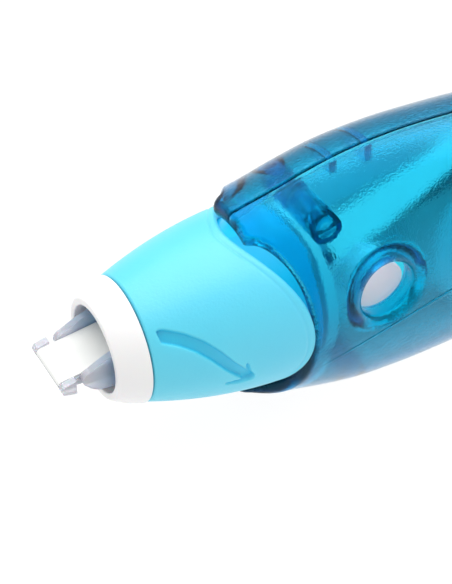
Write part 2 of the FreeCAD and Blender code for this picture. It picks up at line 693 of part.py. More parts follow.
def make_tape_runs():
    """The tape from the full reel to the edge of the tip, and the bare film from the edge
    round the guide posts to the take-up reel."""
    half = size("tape_thickness") / 2
    posts = [(size(x), size(z)) for x, z in GUIDE_POSTS]
    turn_out = size("guide_radius") + half + 0.03
    edge = (size("blade_nose_x"), size("blade_nose_z"))
    edge_turn = size("blade_nose_radius") + half + 0.03
    out = round_post(edge, edge_turn, 178, 98, 4) + [(9.8, 1.1 + 1.6 * half)]
    out += round_post(posts[0], turn_out, 268, 297, 2)
    out.append(reel_touch(size("supply_x"), size("supply_pack") + half, *out[-1], True))
    socket = (size(SOCKETS[1][0]), size(SOCKETS[1][1]))
    back = round_post(edge, edge_turn, 182, 263, 4) + [(9.8, -1.5 - 1.6 * half)]
    back += round_post(posts[1], turn_out, 90, -6)
    back += round_post(socket, size("socket_radius") + half + 0.03, 174, 271)
    back += round_post(posts[2], turn_out, 272, 318, 3)
    back.append(reel_touch(size(TAKEUP_X), size("takeup_pack") + half, *back[-1], False))
    width = size("tape_width")
    for name, path in (("tape_run_out", out), ("film_run_back", back)):
        band = fixed_form(name, ribbon(path, size("tape_thickness"), width))
        place(band)
        yield band


# ---------------------------------------------------------------- chassis

def make_chassis():
    """Plate beside the gears that carries the three axles, the film's guide posts and the
    tab that holds the bulkhead."""
    body = new_body("chassis")
    add_slab(body, "plate", "plate_near", "plate_far", [
        ("bulkhead_rear", "-6.6"), ("bulkhead_rear", "6.6"), ("40", "7.9"), ("56", "7.2"),
        ("81", "3.6"), ("81", "-3.6"), ("66", "-6.2"), ("40", "-7.9")])
    for number, (x, z) in enumerate(GUIDE_POSTS[:2], start=1):
        cut_slab(body, "post_hole_%d" % number, "plate_near - 0.1", "plate_far + 0.1",
                 circle=(x, z, "guide_radius + 0.1"))
    add_slab(body, "supply_axle", "-post_reach", "plate_near", circle=("supply_x", "0", "supply_post"))
    add_slab(body, "takeup_axle", "-post_reach", "plate_near", circle=(TAKEUP_X, "0", "takeup_post"))
    add_slab(body, "idler_axle", "gear_near - 0.5", "plate_near", circle=(IDLER_X, "0", "idler_post"))
    add_slab(body, "supply_shoulder", "gear_far + 0.05", "plate_near",
             circle=("supply_x", "0", "supply_post + 1"))
    add_slab(body, "takeup_shoulder", "gear_far + 0.05", "plate_near",
             circle=(TAKEUP_X, "0", "takeup_post + 0.7"))
    add_slab(body, "idler_shoulder", "gear_far + 0.05", "plate_near",
             circle=(IDLER_X, "0", "idler_post + 0.7"))
    return body


# ---------------------------------------------------------------- reels and gears

def gear_outline(teeth, module, thinning, phase):
    """Closed wire of an involute spur gear, in the x-z plane about the origin. One tooth
    is centred at the angle phase; thinning is taken off each tooth's width."""
    pitch = module * teeth / 2
    pressure = math.radians(size("pressure_angle"))
    base = pitch * math.cos(pressure)
    tip = pitch + size("addendum") * module
    root = pitch - size("dedendum") * module
    spread = math.tan(pressure) - pressure
    half = math.pi / (2 * teeth) - thinning / (2 * pitch) + spread

    def flank(radius):
        lean = math.acos(min(1.0, base / radius))
        return half - (math.tan(lean) - lean)

    start = max(base, root)
    radii = [start + (tip - start) * step / 4 for step in range(5)]
    edges = []
    for tooth in range(teeth):
        middle = phase + 2 * math.pi * tooth / teeth
        rising = [(radius, middle - flank(radius)) for radius in radii]
        falling = [(radius, middle + flank(radius)) for radius in radii[::-1]]
        edges += [(root, middle - flank(start))] + rising + falling
        edges.append((root, middle + flank(start)))
    corners = [Vector(radius * math.cos(turn), 0, radius * math.sin(turn)) for radius, turn in edges]
    return Part.makePolygon(corners + corners[:1])


def make_gear(name, teeth, phase, x, parts_of_bore, near="gear_near", far="gear_far"):
    """Spur gear turning on an axle of the chassis."""
    outline = gear_outline(int(size(teeth)), size("gear_module"), size("backlash"), phase)
    drawn = fixed_form(name + "_outline", Part.Face(outline))
    blank = doc.addObject("Part::Extrusion", name + "_blank")
    blank.Base = drawn
    blank.DirMode = "Custom"
    blank.Dir = Vector(0, 1, 0)
    blank.Solid = True
    blank.setExpression("LengthFwd", bound("(%s) - (%s)" % (far, near)))
    blank.setExpression("Placement.Base.y", bound(near))
    bore = rod(name + "_bore", parts_of_bore + " + running_gap", "-8", "8", "0", "0")
    gear = without(name, blank, bore)
    place(gear, x)
    return gear


def reel_parts(prefix, x, post, core, pack, flange, pack_name):
    """Core with a far flange, clear near flange and the wound tape or film of one reel."""
    half_gap = "tape_width / 2 + tape_side_gap"
    core_body = turned(prefix + "_core", [
        (post + " + running_gap", "-(%s)" % half_gap),
        (core, "-(%s)" % half_gap),
        (core, half_gap),
        (flange, half_gap),
        (flange, "(%s) + flange_thickness" % half_gap),
        (post + " + running_gap", "(%s) + flange_thickness" % half_gap),
    ], "Y", x)
    near_flange = turned(prefix + "_flange", [
        (post + " + running_gap", "-(%s) - flange_thickness" % half_gap),
        (flange, "-(%s) - flange_thickness" % half_gap),
        (flange, "-(%s)" % half_gap),
        (post + " + running_gap", "-(%s)" % half_gap),
    ], "Y", x)
    wound = turned(pack_name, [
        (core, "-tape_width / 2"), (pack, "-tape_width / 2"),
        (pack, "tape_width / 2"), (core, "tape_width / 2"),
    ], "Y", x)
    return [core_body, near_flange, wound]


def make_clutch_ring():
    """Friction ring pressed between the supply core and its gear, so that the reel can
    slip when the take-up reel would pull too fast."""
    return turned("clutch_ring", [
        ("supply_post + 1", "tape_width / 2 + tape_side_gap + flange_thickness + 0.02"),
        ("supply_post + 2.6", "tape_width / 2 + tape_side_gap + flange_thickness + 0.02"),
        ("supply_post + 2.6", "gear_near"),
        ("supply_post + 1", "gear_near"),
    ], "Y", "supply_x")


def mesh_phases():
    """Tooth phases that put a tooth of one gear in a gap of the next along +X."""
    supply = 0.0
    idler_teeth = int(size("idler_teeth"))
    takeup_teeth = int(size("takeup_teeth"))
    idler = math.pi + math.pi / idler_teeth
    facing = (0.0 - idler) % (2 * math.pi / idler_teeth)
    share = facing / (2 * math.pi / idler_teeth)
    takeup = math.pi - (0.5 - share) * 2 * math.pi / takeup_teeth
    return supply, idler, takeup


def make_reels():
    supply_phase, idler_phase, takeup_phase = mesh_phases()
    pieces = reel_parts("supply", "supply_x", "supply_post", "supply_core_outer", "supply_pack",
                        "supply_flange", "tape_pack")
    pieces += reel_parts("takeup", TAKEUP_X, "takeup_post", "takeup_core_outer", "takeup_pack",
                         "takeup_flange", "used_film_pack")
    pieces.append(make_clutch_ring())
    pieces.append(make_gear("supply_gear", "supply_teeth", supply_phase, "supply_x", "supply_post"))
    pieces.append(make_gear("idler_gear", "idler_teeth", idler_phase, IDLER_X, "idler_post"))
    pieces.append(make_gear("takeup_gear", "takeup_teeth", takeup_phase, TAKEUP_X, "takeup_post",
                            "tape_width / 2 + tape_side_gap + flange_thickness"))
    return pieces


# ---------------------------------------------------------------- build and export

pieces = list(make_case())
pieces += [make_nose_ring(), make_slide_sleeve(), make_cam_barrel(), make_grip_core(),
           make_grip_rubber(), make_applicator_tip(), make_tip_carrier(), make_chassis()]
pieces += list(make_tape_runs())
pieces += make_reels()
doc.recompute()

for item in doc.Objects:
    if "Invalid" in item.State or "Error" in item.State:
        raise RuntimeError("%s did not compute: %s" % (item.Label, item.State))
for piece in pieces:
    if piece.Shape.isNull() or not piece.Shape.isValid():
        raise RuntimeError(piece.Label + " has no valid shape")

os.makedirs("parts", exist_ok=True)
for piece in pieces:
    piece.Shape.exportStep("parts/%s.step" % piece.Label)
    box = piece.Shape.BoundBox
    print("%-16s solids %d  volume %8.1f  x %6.2f..%6.2f  y %6.2f..%6.2f  z %6.2f..%6.2f" % (
        piece.Label, len(piece.Shape.Solids), piece.Shape.Volume, box.XMin, box.XMax,
        box.YMin, box.YMax, box.ZMin, box.ZMax))
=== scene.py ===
"""Correction tape roller of the pen type, with a twist grip that slides a cover over its tip.

Each section below is one piece, or one group of like pieces, in the order the roller goes
together. Sizes are in millimetres in the pen frame, where x runs back from the edge of the
tip, z is up from the pen's axis and y crosses the seam; pen() takes them to the model.
"""

import bmesh
import bpy
import numpy as np
from mathutils import Matrix, Vector


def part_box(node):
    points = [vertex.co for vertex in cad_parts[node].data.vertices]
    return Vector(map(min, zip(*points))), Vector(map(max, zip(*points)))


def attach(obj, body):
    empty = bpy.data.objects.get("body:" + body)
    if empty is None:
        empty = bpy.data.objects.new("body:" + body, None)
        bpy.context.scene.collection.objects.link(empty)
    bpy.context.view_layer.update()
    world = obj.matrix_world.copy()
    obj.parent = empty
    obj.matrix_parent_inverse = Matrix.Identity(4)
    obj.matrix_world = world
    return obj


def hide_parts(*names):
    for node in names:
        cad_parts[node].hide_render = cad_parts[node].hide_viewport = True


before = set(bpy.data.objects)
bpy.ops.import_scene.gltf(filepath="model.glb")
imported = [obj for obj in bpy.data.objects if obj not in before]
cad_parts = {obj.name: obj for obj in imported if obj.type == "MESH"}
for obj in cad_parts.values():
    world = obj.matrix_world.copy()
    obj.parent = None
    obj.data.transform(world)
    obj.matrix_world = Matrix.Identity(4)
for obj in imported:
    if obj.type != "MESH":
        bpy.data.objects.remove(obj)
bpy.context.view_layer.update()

# ------------------------------------------------------------------------------- pen frame
# The tip's front gives x = 0 and the nose ring's middle gives the pen's axis.
TIP_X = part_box("applicator_tip")[0][0]
AXIS_Z = (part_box("nose_ring")[0][2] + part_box("nose_ring")[1][2]) / 2


def pen(places):
    """Millimetres in the pen frame to metres in the model's frame."""
    return np.asarray(places, float) * 0.001 + np.array([TIP_X, 0.0, AXIS_Z])


# ------------------------------------------------------------------------------ case halves
# Two injection-moulded halves in see-through blue styrene-acrylonitrile (SAN), joined on
# the top and bottom ridges. The outside is spark-eroded to a fine frost and the inside is
# polished, and a flat land runs under the belly.
CASE_BLUE = "36EFF8"
CASE_DENSITY = 2200.0
NEAR, FAR = -1, 1
WALL = 1.35
LENGTH = 116.0
# The rim's swept line, from its ridge back, and the section that its heights are read at.
RIM_RIDGE_X, RIM_SWEEP, RIM_REACH, RIM_SECTION_X = 20.1, 4.4, 11.25, 24.0
RIM_ROUND = 0.75
RIM_BEAD, RIM_BEAD_START, RIM_BEAD_LENGTH = 0.55, 1.3, 1.2
SEAM_HALF_GAP, SEAM_BEVEL = 0.012, 0.16
LAND_Z = -12.6
INNER_FLOOR_Z = -11.7
WINDOW_X, WINDOW_Z, WINDOW_R = 32.5, 2.6, 3.05
WINDOW_LIP, WINDOW_HOLLOW, WINDOW_DEPTH = 1.35, 1.0, 2.5
# The bore's inner end, as millimetres beyond WINDOW_R and below WINDOW_DEPTH.
WINDOW_BORE_END = [(0.0, -0.6), (0.02, -0.25), (0.12, -0.06), (0.35, 0.0), (0.75, -0.08),
                   (1.1, -0.35), (1.3, -0.7), (1.6, -1.0)]
WINDOW_PATCH = 5.4
CASE_LOOPS, CASE_AROUND, RIM_LOOPS = 170, 96, 8
# The loops stand closer together towards the rim, by this power.
LOOP_CROWDING = 1.15
# Corners closer than this are merged and faces thinner than this are dropped, in metres.
MERGE_DISTANCE, SLIVER_DISTANCE = 2e-6, 1e-7
CASE_STATIONS = np.array([
    # x, half height, half thickness, squareness of the section
    (18.6, 10.65, 9.40, 2.00), (21.0, 11.30, 9.45, 2.02), (24.0, 12.02, 9.45, 2.08),
    (27.5, 13.00, 9.45, 2.16), (31.5, 13.85, 9.45, 2.25), (37.6, 14.40, 9.45, 2.28),
    (45.0, 14.25, 9.45, 2.28), (55.0, 13.45, 9.40, 2.26), (66.0, 12.25, 9.20, 2.22),
    (78.0, 10.85, 8.70, 2.18), (90.0, 9.60, 8.00, 2.14), (101.0, 8.45, 7.20, 2.10),
    (109.0, 7.30, 6.35, 2.06), (113.4, 5.95, 5.25, 2.02), (115.3, 4.45, 4.00, 2.00),
    (116.0, 0.02, 0.02, 2.00)])


def along_case(x, column):
    """A column of the station table at x, by cubic pieces through the stations whose slope
    at each station is that of the chord between its neighbours."""
    stations, values = CASE_STATIONS[:, 0], CASE_STATIONS[:, column]
    slopes = np.gradient(values, stations)
    index = np.clip(np.searchsorted(stations, x) - 1, 0, len(stations) - 2)
    width = stations[index + 1] - stations[index]
    part = np.clip((x - stations[index]) / width, 0, 1)
    rise_a, rise_b = slopes[index] * width, slopes[index + 1] * width
    return ((2 * part ** 3 - 3 * part ** 2 + 1) * values[index]
            + (part ** 3 - 2 * part ** 2 + part) * rise_a
            + (-2 * part ** 3 + 3 * part ** 2) * values[index + 1]
            + (part ** 3 - part ** 2) * rise_b)


def case_section(x, turn, inset):
    """Point on |y/a|^n + |z/b|^n = 1 at x, where turn runs from 0 on the top ridge through
    the near side to pi on the bottom ridge, a and b being the half sizes less the inset."""
    power = 2 / along_case(x, 3)
    half_z = np.maximum(along_case(x, 1) - inset, 0)
    half_y = np.maximum(along_case(x, 2) - inset, 0)
    y = -half_y * np.abs(np.sin(turn)) ** power
    z = half_z * np.sign(np.cos(turn)) * np.abs(np.cos(turn)) ** power
    return np.stack(np.broadcast_arrays(x, y, z), -1)


def wall_y(x, z, inset):
    """y of the near wall at x, z on the section |y/a|^n + |z/b|^n = 1, the half sizes a and
    b being less the inset."""
    power = along_case(x, 3)
    rest = 1 - np.abs(z / (along_case(x, 1) - inset)) ** power
    return -(along_case(x, 2) - inset) * np.clip(rest, 0, 1) ** (1 / power)


def ease(part):
    """3t^2 - 2t^3, which leaves 0 and reaches 1 level."""
    part = np.clip(part, 0, 1)
    return part * part * (3 - 2 * part)


def finish_mesh(name, corners, faces, sharp_degrees=40):
    """Mesh object from pen-frame corners and faces, its poles and seams closed, its faces
    turned outwards and shaded smooth except over edges sharper than sharp_degrees."""
    mesh = bpy.data.meshes.new(name)
    mesh.from_pydata(pen(corners).tolist(), [], [list(map(int, face)) for face in faces])
    work = bmesh.new()
    work.from_mesh(mesh)
    bmesh.ops.remove_doubles(work, verts=work.verts, dist=MERGE_DISTANCE)
    bmesh.ops.dissolve_degenerate(work, edges=work.edges, dist=SLIVER_DISTANCE)
    gaps = [edge for edge in work.edges if edge.is_boundary]
    bmesh.ops.holes_fill(work, edges=gaps, sides=0)
    bmesh.ops.recalc_face_normals(work, faces=work.faces)
    work.to_mesh(mesh)
    work.free()
    mesh.shade_smooth()
    mesh.set_sharp_from_angle(angle=np.radians(sharp_degrees))
    piece = bpy.data.objects.new(name, mesh)
    bpy.context.scene.collection.objects.link(piece)
    return piece


def grid_faces(rows, columns, wrap_rows=False, wrap_columns=False, first=0):
    """Quads of a rows by columns grid of corners, numbered along each row in turn."""
    row = np.arange(rows if wrap_rows else rows - 1)[:, None]
    column = np.arange(columns if wrap_columns else columns - 1)[None, :]
    next_row, next_column = (row + 1) % rows, (column + 1) % columns
    quads = np.stack(np.broadcast_arrays(row * columns + column, next_row * columns + column,
                                         next_row * columns + next_column,
                                         row * columns + next_column), -1)
    return quads.reshape(-1, 4) + first


def case_surface(turn, steps, inset, lowest):
    """Grid over one side of the near half, steps of x by turns. Each turn's line starts on
    the swept rim, where x = ridge + sweep * sqrt(1 - (z / reach)^2), and ends at the tail.
    The inside swells to a bead behind the rim along the ridges."""
    rim_half_height = along_case(np.array(RIM_SECTION_X), 1)
    height = np.clip(np.abs(np.cos(turn)) * rim_half_height / RIM_REACH, 0, 1)
    front = (RIM_RIDGE_X + RIM_SWEEP * np.sqrt(1 - height ** 2))[None, :]
    x = front + (LENGTH - inset - front) * steps[:, None]
    bead = 1 - ease((x - front - RIM_BEAD_START) / RIM_BEAD_LENGTH)
    deep = inset + (RIM_BEAD * bead * np.cos(turn)[None, :] ** 2 if inset else 0)
    shape_x = front + (x - front) * (LENGTH - front) / (LENGTH - inset - front)
    points = case_section(np.clip(shape_x, 0, LENGTH), turn[None, :], deep)
    points[..., 0] = x
    points[..., 1] = np.minimum(points[..., 1], -SEAM_HALF_GAP)
    points[..., 2] = np.maximum(points[..., 2], lowest)
    return points


def half_case(name, side, window):
    """One half as a closed wall: a loop runs over the outside from ridge to ridge, round the
    seam's bevelled edge and back along the inside, and the loops run from the rounded front
    rim to the tail. side is NEAR or FAR."""
    steps = np.linspace(0, 1, CASE_LOOPS) ** LOOP_CROWDING
    turn = np.linspace(0, np.pi, CASE_AROUND)
    outside = case_surface(turn, steps, 0.0, LAND_Z)
    inside = case_surface(turn, steps, WALL, INNER_FLOOR_Z)
    seam = outside[:, [0, -1]].copy()
    seam[..., 1] = -SEAM_HALF_GAP
    seam[..., 2] *= 1 - SEAM_BEVEL / np.maximum(np.abs(seam[..., 2]), 0.4)
    outside[..., 1] = np.minimum(outside[..., 1], -SEAM_HALF_GAP - SEAM_BEVEL)
    loop = np.concatenate([seam[:, :1], outside, seam[:, 1:], inside[:, ::-1]], 1)
    partner = np.concatenate([inside[:, :1], inside, inside[:, -1:], outside[:, ::-1]], 1)
    first, centre = loop[:1], (loop[:1] + partner[:1]) / 2
    swing = np.linspace(0, np.pi / 2, RIM_LOOPS, endpoint=False)[:, None, None]
    lip = centre + (first - centre) * np.sin(swing)
    lip[..., 0] = first[..., 0] - RIM_ROUND * np.cos(swing[..., 0])
    body = np.concatenate([lip, loop], 0)
    corners, faces = body.reshape(-1, 3), grid_faces(*body.shape[:2], wrap_columns=True)
    if window:
        corners, faces = cut_window(body, faces)
    return finish_mesh(name, corners * np.array([1, -side, 1]), faces, 50)


def block_edge(rows, columns):
    """Row and column numbers round the edge of a block of the grid, in one loop."""
    (top, bottom), (left, right) = rows, columns
    down, across = np.arange(top, bottom), np.arange(left, right)
    row = np.concatenate([across * 0 + top, down, across * 0 + bottom, down[::-1] + 1])
    column = np.concatenate([across, down * 0 + right, across[::-1] + 1, down * 0 + left])
    return row, column


def cut_window(body, faces):
    """Replaces a block of the grid round the window, on the outside and the inside, by rings
    that run from the block's edge over the window's rolled lip, through its bore and back
    along the inside. On each ring y follows the wall, less the lip's hollow."""
    columns = body.shape[1]
    face_row, face_column = np.divmod(np.arange(len(faces)), columns)
    skin = body[:, 1:1 + CASE_AROUND]
    hit = ((np.abs(skin[..., 0] - WINDOW_X) < WINDOW_PATCH)
           & (np.abs(skin[..., 2] - WINDOW_Z) < WINDOW_PATCH))
    hit_row, hit_column = np.nonzero(hit)
    top, bottom = hit_row.min(), hit_row.max()
    left, right = hit_column.min() + 1, hit_column.max() + 1
    # The inside's columns count back from the outside's, two seam columns between them.
    mirror = 2 * CASE_AROUND + 2
    in_rows = (face_row >= top) & (face_row < bottom)
    in_outside = (face_column >= left) & (face_column < right)
    in_inside = (face_column >= mirror - right) & (face_column < mirror - left)
    kept = faces[~(in_rows & (in_outside | in_inside))]
    row, column = block_edge((top, bottom), (left, right))
    outer, inner = body[row, column], body[row, mirror - column]
    middle = np.array([WINDOW_X, WINDOW_Z])
    away = outer[:, [0, 2]] - middle
    bearing = np.arctan2(away[:, 1], away[:, 0])
    heading = np.stack([np.cos(bearing), np.sin(bearing)], 1)

    def ring(spots, inset, hollow):
        """Corners over the x, z spots, on the wall at an inset and sunk by the hollow."""
        return np.stack([spots[:, 0], wall_y(spots[:, 0], spots[:, 1], inset) + hollow,
                         spots[:, 1]], 1)

    lip_out = WINDOW_R + WINDOW_LIP
    rings = [ring(outer[:, [0, 2]] * (1 - share) + (middle + lip_out * heading) * share, 0, 0)
             for share in np.linspace(0, 1, 9)[1:-1]]
    roll = [(lip_out - WINDOW_LIP * np.sin(step), WINDOW_HOLLOW * (1 - np.cos(step)))
            for step in np.linspace(0, np.pi / 2, 12)]
    bore = [(WINDOW_R + beyond, WINDOW_DEPTH + below) for beyond, below in WINDOW_BORE_END]
    bore_out = bore[-1][0]
    rings += [ring(middle + reach * heading, 0, hollow) for reach, hollow in roll + bore]
    rings += [ring((middle + bore_out * heading) * (1 - share) + inner[:, [0, 2]] * share,
                   WALL, 0) for share in np.linspace(0, 1, 8)[1:-1]]
    stack = np.concatenate([outer[None], np.array(rings), inner[None]], 0)
    count = body.shape[0] * columns
    patch = grid_faces(*stack.shape[:2], wrap_columns=True, first=count)
    return (np.concatenate([body.reshape(-1, 3), stack.reshape(-1, 3)], 0),
            np.concatenate([kept, patch], 0))


def linear(hex_colour):
    """sRGB hex to the linear colour that the shader sockets take."""
    values = np.array([int(hex_colour[start:start + 2], 16) for start in (0, 2, 4)]) / 255
    values = np.where(values <= 0.04045, values / 12.92, ((values + 0.055) / 1.055) ** 2.4)
    return (*values.tolist(), 1.0)


def add_node(tree, kind, settings=None, links=None):
    """One shader node, with its properties or its sockets (by name or number) set and its
    inputs linked."""
    node = tree.nodes.new(kind)
    for key, value in (settings or {}).items():
        if isinstance(key, int) or key in node.inputs:
            node.inputs[key].default_value = value
        else:
            setattr(node, key, value)
    for key, source in (links or {}).items():
        tree.links.new(source, node.inputs[key])
    return node


# The colour sockets of a Mix node, which shares their names among its kinds of data.
MIX_FIRST, MIX_SECOND, MIX_RESULT = 6, 7, 2


def moulded(name, deep, pale, mottle_mm, grain_mm, grain_height_mm, sockets):
    """Moulded plastic: two close shades drift into each other over mottle_mm, as colourant
    does, and a noise of grain_mm raises the spark-eroded or polished grain of the mould."""
    material = bpy.data.materials.new(name)
    material.use_nodes = True
    tree = material.node_tree
    tree.nodes.clear()
    place = add_node(tree, "ShaderNodeTexCoord")
    drift = add_node(tree, "ShaderNodeTexNoise", {"Scale": 1000 / mottle_mm, "Detail": 2.0},
                     {"Vector": place.outputs["Object"]})
    shade = add_node(tree, "ShaderNodeMix",
                     {"data_type": "RGBA", MIX_FIRST: linear(deep), MIX_SECOND: linear(pale)},
                     {"Factor": drift.outputs["Fac"]})
    grain = add_node(tree, "ShaderNodeTexNoise",
                     {"Scale": 1000 / grain_mm, "Detail": 2.0, "Roughness": 0.6},
                     {"Vector": place.outputs["Object"]})
    bump = add_node(tree, "ShaderNodeBump", {"Distance": grain_height_mm * 0.001},
                    {"Height": grain.outputs["Fac"]})
    surface = add_node(tree, "ShaderNodeBsdfPrincipled", sockets,
                       {"Base Color": shade.outputs[MIX_RESULT],
                        "Normal": bump.outputs["Normal"]})
    add_node(tree, "ShaderNodeOutputMaterial", None, {"Surface": surface.outputs["BSDF"]})
    return material


def fit_piece(piece, body, slot_name, material, *nodes):
    """Gives a new piece its material and its body, and hides the CAD nodes it stands for;
    slot_name is not used.
    """
    piece.data.materials.append(material)
    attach(piece, body)
    if nodes:
        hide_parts(*nodes)
    # Clear walls let the light in to the parts behind them.
    piece.visible_shadow = material.name != "SAN_blue_frosted"


# SAN bends light at 1.57. The colour is in the plastic's depth, so one wall looks cyan, two
# look mid blue and a long way through the rim looks navy. The frost is drawn at 0.24 mm, and
# tinted reflections keep the white studio from greying the blue.
case_san = moulded(
    "SAN_blue_frosted", "F2FBFF", "F6FDFF", 6.0, 0.24, 0.03,
    {"Transmission Weight": 1.0, "Roughness": 0.05, "IOR": 1.57,
     "Specular Tint": linear("18BCEC")})
tree = case_san.node_tree
depth_tint = add_node(tree, "ShaderNodeVolumeAbsorption",
                      {"Color": linear(CASE_BLUE), "Density": CASE_DENSITY})
tree.links.new(depth_tint.outputs["Volume"],
               tree.nodes["Material Output"].inputs["Volume"])
near_half = half_case("near_half", NEAR, True)
fit_piece(near_half, "case", "case_blue", case_san, "near_shell")
far_half = half_case("far_half", FAR, False)
fit_piece(far_half, "case", "case_blue", case_san, "far_shell")

# ------------------------------------------------------- sockets, pins, posts, ribs and pads
# Moulded in one with the halves: hollow sockets in the near half take the far half's pins,
# two bosses steady the axles, three posts guide the tape and film, and ribs stiffen the top.
SOCKETS = [(27.0, 9.7), (31.0, -9.8), (91.0, 4.6), (91.0, -4.6), (105.0, 0.0)]
SOCKET_R, SOCKET_BORE, SOCKET_END, SOCKET_FLOOR, SOCKET_FACE = 1.6, 1.05, -0.4, -5.0, 0.1
PIN_R, PIN_START, PIN_END = 1.0, 1.0, -3.4
POSTS = [(28.8, 3.3), (28.8, -3.3), (64.0, -9.2)]
POST_R, POST_END = 1.2, -2.9
AXLES = [(53.0, 2.0), (75.09, 1.5)]
PAD_R, PAD_Y = 2.4, 6.4
BOSS_WALL, BOSS_PLAY = 1.0, 0.1
BOSS_END, AXLE_REACH = -3.3, -4.7
RIBS = [31.0, 35.0]
RIB_HALF, RIB_FOOT, RIB_SEAM_GAP = 0.4, 11.3, 0.05
# Columns and ribs start inside the wall, at these depths below its outside.
ROOT_DEPTH, ROOT_LIMIT, RIB_DEPTH = WALL * 0.7, WALL * 0.6, WALL * 0.8
ROUND_STEPS = 4


def rounded(corners, bend=0.12, steps=ROUND_STEPS):
    """Outline through the corners, each cut back by bend (or less on a short edge) and
    joined across by a parabola that starts along one edge and ends along the other."""
    corners = np.asarray(corners, float)
    before, after = np.roll(corners, 1, 0) - corners, np.roll(corners, -1, 0) - corners
    back_length = np.linalg.norm(before, axis=1, keepdims=True)
    on_length = np.linalg.norm(after, axis=1, keepdims=True)
    cut = np.minimum(bend, np.minimum(back_length, on_length) * 0.45)
    start, end = corners + before / back_length * cut, corners + after / on_length * cut
    part = np.linspace(0, 1, steps)[None, :, None]
    curve = ((1 - part) ** 2 * start[:, None] + 2 * part * (1 - part) * corners[:, None]
             + part ** 2 * end[:, None])
    return curve.reshape(-1, 2)


def turned_y(profile, x, z, around=36):
    """Grid of a profile of (radius, y) carried round the line through x, z along y, and
    stopped inside the case's wall."""
    radius, y = np.asarray(profile, float).T[:, :, None]
    turn = np.linspace(0, 2 * np.pi, around, endpoint=False)[None, :]
    grid = np.stack(np.broadcast_arrays(x + radius * np.cos(turn), y,
                                        z + radius * np.sin(turn)), -1)
    limit = -wall_y(grid[..., 0], grid[..., 2], ROOT_LIMIT)
    grid[..., 1] = np.clip(grid[..., 1], -limit, limit)
    return grid


def stack_grids(grids, wrap_rows=False):
    """Corners and quads of several grids whose columns close on themselves."""
    firsts = np.cumsum([0] + [grid.shape[0] * grid.shape[1] for grid in grids])
    faces = [grid_faces(*grid.shape[:2], wrap_rows=wrap_rows, wrap_columns=True, first=first)
             for grid, first in zip(grids, firsts)]
    return np.concatenate([grid.reshape(-1, 3) for grid in grids]), np.concatenate(faces)


def rod_profile(radius, start, end, bore=0.0, bore_end=None):
    """Profile of (radius, y) for a rod from start to end, bored from its end if asked."""
    corners = [(0.0, start), (radius, start), (radius, end)]
    corners += [(bore, end), (bore, bore_end), (0.0, bore_end)] if bore else [(0.0, end)]
    smooth = rounded(corners)
    smooth[:, 0] = np.maximum(smooth[:, 0], 0)
    return np.concatenate([[corners[0]], smooth[ROUND_STEPS:-ROUND_STEPS], [corners[-1]]])


# Of the rearmost pair only the pin is drawn, without its socket or its root.
rods = [turned_y(rod_profile(SOCKET_R, wall_y(x, z, ROOT_DEPTH), SOCKET_END, SOCKET_BORE,
                             SOCKET_FLOOR), x, z) for x, z in SOCKETS[:-1]]
rods += [turned_y(rod_profile(axle + BOSS_WALL, wall_y(x, 0.0, ROOT_DEPTH), BOSS_END,
                              axle + BOSS_PLAY, AXLE_REACH), x, 0.0) for x, axle in AXLES]
near_columns = finish_mesh("near_columns", *stack_grids(rods))
fit_piece(near_columns, "case", "case_blue", case_san, "near_shell")

rods = [turned_y(rod_profile(SOCKET_R, -wall_y(x, z, ROOT_DEPTH), SOCKET_FACE), x, z)
        for x, z in SOCKETS[:-1]]
rods += [turned_y(rod_profile(PIN_R, PIN_START, PIN_END), x, z) for x, z in SOCKETS]
rods += [turned_y(rod_profile(POST_R, -wall_y(x, z, ROOT_DEPTH), POST_END), x, z)
         for x, z in POSTS]
rods += [turned_y(rod_profile(PAD_R, -wall_y(x, 0.0, ROOT_DEPTH), PAD_Y), x, 0.0)
         for x, _ in AXLES]
far_columns = finish_mesh("far_columns", *stack_grids(rods))
fit_piece(far_columns, "case", "case_blue", case_san, "far_shell")


def rib_grid(x):
    """Fin under the far half's roof: its outline follows the inner wall from the ridge down
    to the rib's foot and returns along the foot, and is carried across the rib's width."""
    turn = np.linspace(0, np.pi / 2, 60)
    arc = case_section(np.full(len(turn), x), turn, RIB_DEPTH)[:, 1:]
    arc = arc[arc[:, 1] > RIB_FOOT] * np.array([-1, 1])
    foot_y = np.linspace(arc[-1, 0], RIB_SEAM_GAP, 8)
    outline = np.concatenate([arc, np.stack([foot_y, np.full(len(foot_y), RIB_FOOT)], 1)])
    outline[:, 0] = np.maximum(outline[:, 0], RIB_SEAM_GAP)
    centre = outline.mean(0)
    rows = [(x - RIB_HALF, centre), (x - RIB_HALF, outline), (x + RIB_HALF, outline),
            (x + RIB_HALF, centre)]
    return np.stack([np.column_stack([np.full(len(outline), row_x),
                                      np.broadcast_to(row, outline.shape)])
                     for row_x, row in rows])


rib_grids = [rib_grid(x) for x in RIBS]
far_ribs = finish_mesh("far_ribs", *stack_grids(rib_grids))
fit_piece(far_ribs, "case", "case_blue", case_san, "far_shell")

# ------------------------------------------------------------------------------ form lines
# A low rounded line is moulded along each half's outside. It leaves the rim low on the side
# and rises towards the widest part of the case, where it fades out.
LINE_PLACES = np.array([(24.6, -4.3), (28.0, -3.0), (32.0, -2.1), (36.5, -1.0), (42.0, 0.5),
                        (50.0, 2.2), (58.0, 3.2), (66.0, 3.6)])
LINE_R, LINE_SUNK = 0.2, 0.04


